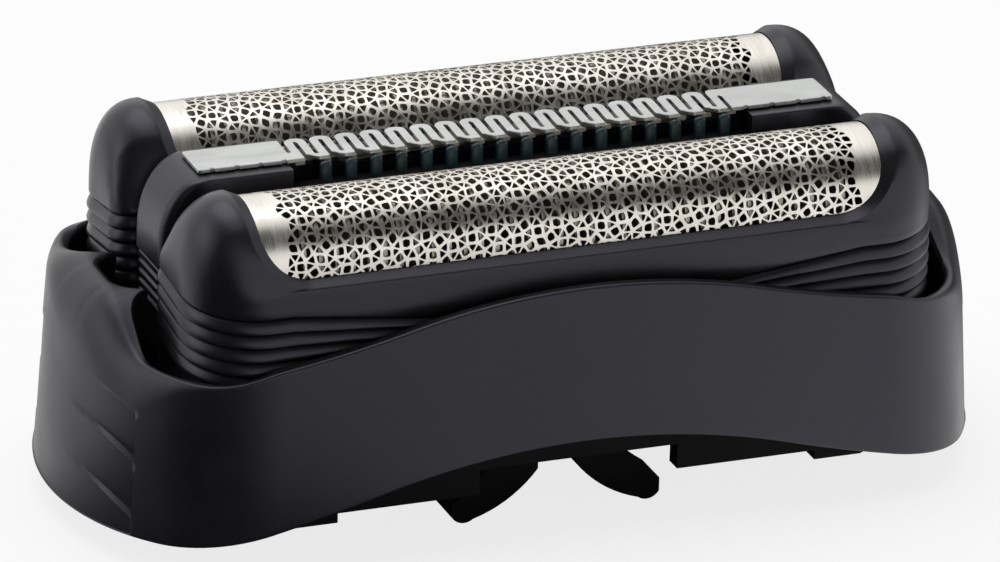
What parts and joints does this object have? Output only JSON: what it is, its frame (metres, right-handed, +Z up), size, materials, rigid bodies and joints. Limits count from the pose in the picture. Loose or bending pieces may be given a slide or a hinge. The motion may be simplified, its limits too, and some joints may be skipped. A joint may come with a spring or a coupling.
{
  "type": "shaver foil head",
  "caption": "Electric shaver foil head: black frame with sprung, perforated foil units over reciprocating cutters, a serpentine trimmer bar between them and flared drive forks below.",
  "frame": {"origin": "middle of the part in plan, at the height of the drive fork tips", "axes": "+Z up through the foils, +X along the foils, -Y towards the front foil"},
  "size_m": [0.058, 0.0278, 0.0225],
  "materials": {
    "frame_plastic": "satin black moulding",
    "tray_plastic": "black moulding",
    "unit_plastic": "satin black moulding",
    "carrier_plastic": "black moulding",
    "guide_plastic": "dark teal moulding",
    "foil_steel": "thin perforated sheet, bright",
    "comb_steel": "satin etched sheet",
    "blade_steel": "ground",
    "spring_steel": "drawn wire"
  },
  "bodies": {
    "frame": {"outer_frame": "frame_plastic", "base_tray": "tray_plastic", "front_float_springs": "spring_steel", "rear_float_springs": "spring_steel", "trimmer_float_springs": "spring_steel"},
    "front_foil_unit": {"front_foil_frame": "unit_plastic", "front_foil": "foil_steel", "front_cutter_retainer": "carrier_plastic", "front_cutter_springs": "spring_steel"},
    "rear_foil_unit": {"rear_foil_frame": "unit_plastic", "rear_foil": "foil_steel", "rear_cutter_retainer": "carrier_plastic", "rear_cutter_springs": "spring_steel"},
    "front_cutter": {"front_cutter_carrier": "carrier_plastic", "front_cutter_blades": "blade_steel"},
    "rear_cutter": {"rear_cutter_carrier": "carrier_plastic", "rear_cutter_blades": "blade_steel"},
    "trimmer_unit": {"trimmer_body": "unit_plastic", "trimmer_comb": "comb_steel", "guide_combs": "guide_plastic"},
    "trimmer_cutter": {"trimmer_blade": "blade_steel", "trimmer_slider": "carrier_plastic", "trimmer_leaf_spring": "spring_steel"}
  },
  "joints": [
    {"name": "front_foil_float", "type": "slide", "parent": "frame", "child": "front_foil_unit", "axis": [0, 0, 1], "range_m": [-0.002, 0], "stiffness_N_per_m": 300, "springref_m": 0.004, "deforming": ["front_float_springs"]},
    {"name": "rear_foil_float", "type": "slide", "parent": "frame", "child": "rear_foil_unit", "axis": [0, 0, 1], "range_m": [-0.002, 0], "stiffness_N_per_m": 300, "springref_m": 0.004, "deforming": ["rear_float_springs"]},
    {"name": "trimmer_float", "type": "slide", "parent": "frame", "child": "trimmer_unit", "axis": [0, 0, 1], "range_m": [-0.002, 0], "stiffness_N_per_m": 200, "springref_m": 0.004, "deforming": ["trimmer_float_springs"]},
    {"name": "front_cutter_stroke", "type": "slide", "parent": "front_foil_unit", "child": "front_cutter", "axis": [1, 0, 0], "range_m": [-0.0012, 0.0012]},
    {"name": "rear_cutter_stroke", "type": "slide", "parent": "rear_foil_unit", "child": "rear_cutter", "axis": [1, 0, 0], "range_m": [-0.0012, 0.0012]},
    {"name": "trimmer_blade_stroke", "type": "slide", "parent": "trimmer_unit", "child": "trimmer_cutter", "axis": [1, 0, 0], "range_m": [-0.0012, 0.0012]}
  ],
  "couplings": [
    {"joint": "trimmer_blade_stroke", "follows": "rear_cutter_stroke", "ratio": 1}
  ]
}
